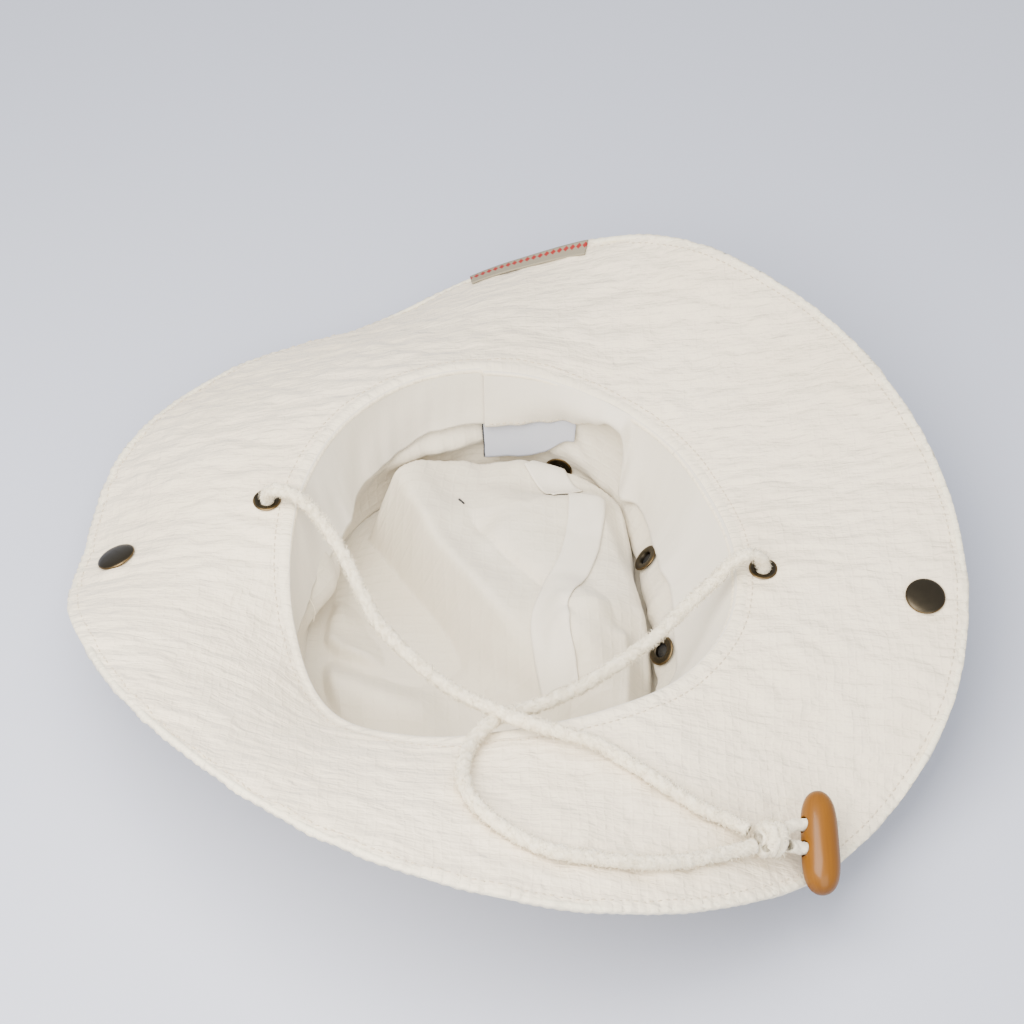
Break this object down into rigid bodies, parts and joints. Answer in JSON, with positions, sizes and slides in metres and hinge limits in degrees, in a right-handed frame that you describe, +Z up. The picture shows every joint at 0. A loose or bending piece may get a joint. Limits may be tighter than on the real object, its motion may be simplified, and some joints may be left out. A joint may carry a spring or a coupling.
{
  "type": "sun hat",
  "caption": "Soft wide-brimmed cotton sun hat lying upside down on its slumped crown, with sweatband, eyelets, snaps, chin cord and wooden toggle.",
  "frame": {"origin": "on the floor under the middle of the hat's box, as it lies upside down", "axes": "+Z up, out of the head opening; -Y to the front, where the chin cord crosses the brim; +X to the right seen from the front"},
  "size_m": [0.3354, 0.349, 0.099],
  "materials": {
    "cotton_ripstop": "washed off-white ripstop cotton",
    "sweatband_cotton": "plain off-white cotton",
    "label_satin": "white woven satin",
    "woven_label": "beige woven strip",
    "antique_brass": "dark antique brass",
    "twisted_cotton_cord": "fluffy twisted cotton",
    "varnished_wood": "glossy honey-brown varnish"
  },
  "bodies": {
    "root": {"brim": "cotton_ripstop", "crown_side": "cotton_ripstop", "crown_top": "cotton_ripstop", "sweatband": "sweatband_cotton", "seam_tape_back": "sweatband_cotton", "seam_tape_middle": "sweatband_cotton", "inner_label": "label_satin", "brim_label": "woven_label", "brim_eyelet_left": "antique_brass", "brim_eyelet_right": "antique_brass", "brim_snap_left": "antique_brass", "brim_snap_right": "antique_brass", "crown_vent_front": "antique_brass", "crown_vent_side": "antique_brass", "crown_vent_back": "antique_brass", "chin_cord": "twisted_cotton_cord", "chin_cord_knot": "twisted_cotton_cord", "chin_cord_end_upper": "twisted_cotton_cord", "chin_cord_end_lower": "twisted_cotton_cord", "toggle": "varnished_wood"}
  },
  "joints": []
}
